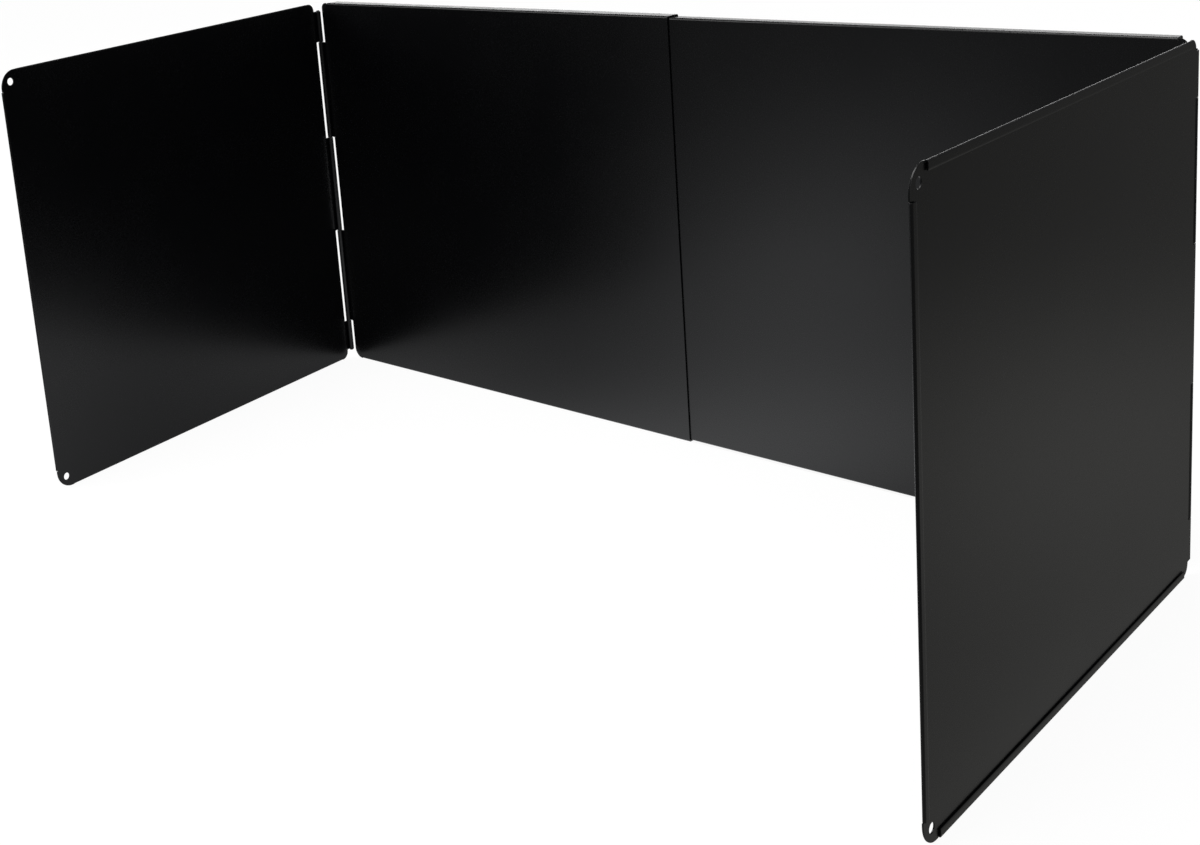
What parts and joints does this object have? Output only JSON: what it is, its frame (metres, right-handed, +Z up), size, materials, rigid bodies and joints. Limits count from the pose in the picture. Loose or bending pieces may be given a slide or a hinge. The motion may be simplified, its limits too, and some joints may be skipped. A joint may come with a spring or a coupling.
{
  "type": "folding splash guard",
  "caption": "Free-standing splash and wind guard of coated sheet steel: hemmed side wings on barrel hinges at the ends of a telescoping back panel.",
  "frame": {"origin": "underside of the sleeve's bottom flange at mid-depth, midway between the two hinge axes when the back panel is pulled out", "axes": "+X along the back panel from the left hinge to the right one, +Y to the back, away from the wings, +Z up"},
  "size_m": [0.7737, 0.343, 0.305],
  "materials": {
    "black_coat": "satin black powder coat",
    "pin_steel": "blackened wire"
  },
  "bodies": {
    "back_sleeve": {"centre_sleeve": "black_coat", "left_hinge_pin": "pin_steel"},
    "back_slide": {"centre_slide": "black_coat", "right_hinge_pin": "pin_steel"},
    "left_wing": {"left_wing": "black_coat"},
    "right_wing": {"right_wing": "black_coat"}
  },
  "joints": [
    {"name": "back_slide", "type": "slide", "parent": "back_sleeve", "child": "back_slide", "axis": [-1, 0, 0], "range_m": [0, 0.3231]},
    {"name": "left_hinge", "type": "hinge", "parent": "back_sleeve", "child": "left_wing", "pos_m": [-0.366, -0.0073, 0], "axis": [0, 0, 1], "range_deg": [-210.3, 79.7]},
    {"name": "right_hinge", "type": "hinge", "parent": "back_slide", "child": "right_wing", "pos_m": [0.366, -0.0062, 0], "axis": [0, 0, -1], "range_deg": [-193.8, 92.8]}
  ]
}
